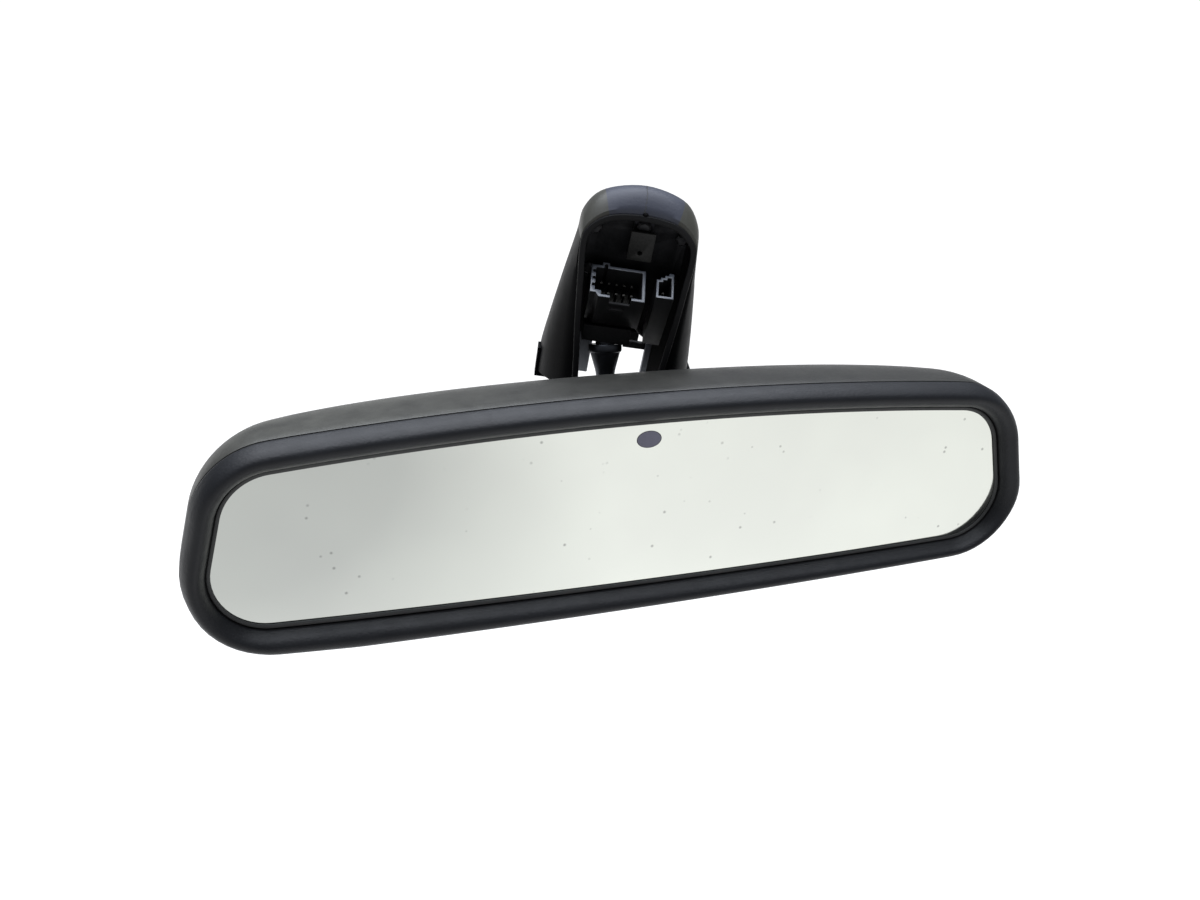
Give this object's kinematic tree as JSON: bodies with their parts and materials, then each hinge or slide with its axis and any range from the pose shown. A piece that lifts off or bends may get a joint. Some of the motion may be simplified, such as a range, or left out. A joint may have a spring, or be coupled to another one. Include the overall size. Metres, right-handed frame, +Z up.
{
  "type": "interior rearview mirror",
  "caption": "Self-dimming interior rearview mirror: wide rounded head on a ball joint below an open arched windscreen arm with plug sockets.",
  "frame": {"origin": "middle of the flat floor of the windscreen button slot in the arm's foot plate", "axes": "+X to the right along the head, +Y away from the driver (the glass faces -Y), +Z up"},
  "size_m": [0.2414, 0.071, 0.1109],
  "materials": {
    "black_satin_plastic": "satin",
    "black_plain_plastic": "matte",
    "grey_plastic": "matte",
    "clear_glass": "polished",
    "mirror_coat": "polished",
    "dimming_gel": "gloss",
    "seal_resin": "satin",
    "bus_copper": "satin",
    "pad_foam": "matte",
    "board_green": "gloss",
    "chip_epoxy": "matte",
    "zinc_casting": "cast",
    "stud_steel": "satin",
    "screw_steel": "satin",
    "spring_steel": "satin",
    "liner_acetal": "satin",
    "pin_tin": "bright",
    "lead_sleeve": "matte"
  },
  "bodies": {
    "arm": {"mount_housing": "black_satin_plastic", "foot_plate": "zinc_casting", "foot_screw_1": "screw_steel", "foot_screw_2": "screw_steel", "foot_screw_3": "screw_steel", "foot_screw_4": "screw_steel", "spring_rivet": "screw_steel", "main_socket": "black_plain_plastic", "main_pin_header": "pin_tin", "small_socket": "black_plain_plastic", "small_pin_header": "pin_tin", "stud_bracket": "black_plain_plastic", "bracket_screw_1": "screw_steel", "bracket_screw_2": "screw_steel", "ball_stud": "stud_steel", "arm_harness": "lead_sleeve", "small_lead": "lead_sleeve"},
    "latch": {"retaining_spring": "spring_steel", "release_tab": "black_plain_plastic"},
    "liner_lower": {"seat_cup": "liner_acetal"},
    "liner_upper": {"seat_ring": "liner_acetal"},
    "head": {"front_bezel": "black_satin_plastic", "rear_housing": "black_satin_plastic", "front_glass": "clear_glass", "cell_seal": "seal_resin", "electrochromic_gel": "dimming_gel", "rear_glass": "mirror_coat", "bus_clip_top": "bus_copper", "bus_clip_bottom": "bus_copper", "foam_pad": "pad_foam", "glass_carrier": "grey_plastic", "socket_screw_1": "screw_steel", "socket_screw_2": "screw_steel", "socket_screw_3": "screw_steel", "socket_screw_4": "screw_steel", "board_screw_1": "screw_steel", "board_screw_2": "screw_steel", "circuit_board": "board_green", "controller_chip": "chip_epoxy", "ambient_sensor": "chip_epoxy", "glare_sensor": "chip_epoxy", "sensor_light_pipe": "clear_glass", "ambient_light_pipe": "clear_glass", "board_connector": "black_plain_plastic", "ball_socket": "zinc_casting", "head_harness": "lead_sleeve"}
  },
  "joints": [
    {"name": "head_yaw", "type": "hinge", "parent": "arm", "child": "liner_lower", "pos_m": [-0.0095, -0.00847, -0.05628], "axis": [0, 0, 1], "range_deg": [-32, 2]},
    {"name": "head_roll", "type": "hinge", "parent": "liner_lower", "child": "liner_upper", "pos_m": [-0.0095, -0.00847, -0.05628], "axis": [0, 1, 0], "range_deg": [-3, 3]},
    {"name": "head_pitch", "type": "hinge", "parent": "liner_upper", "child": "head", "pos_m": [-0.0095, -0.00847, -0.05628], "axis": [1, 0, 0], "range_deg": [-9, 5]},
    {"name": "latch_flex", "type": "hinge", "parent": "arm", "child": "latch", "pos_m": [0.00086, -0.00509, 0.00953], "axis": [0.9569, -0.2636, -0.1219], "range_deg": [-4, 0], "stiffness_Nm_per_rad": 0.2}
  ]
}
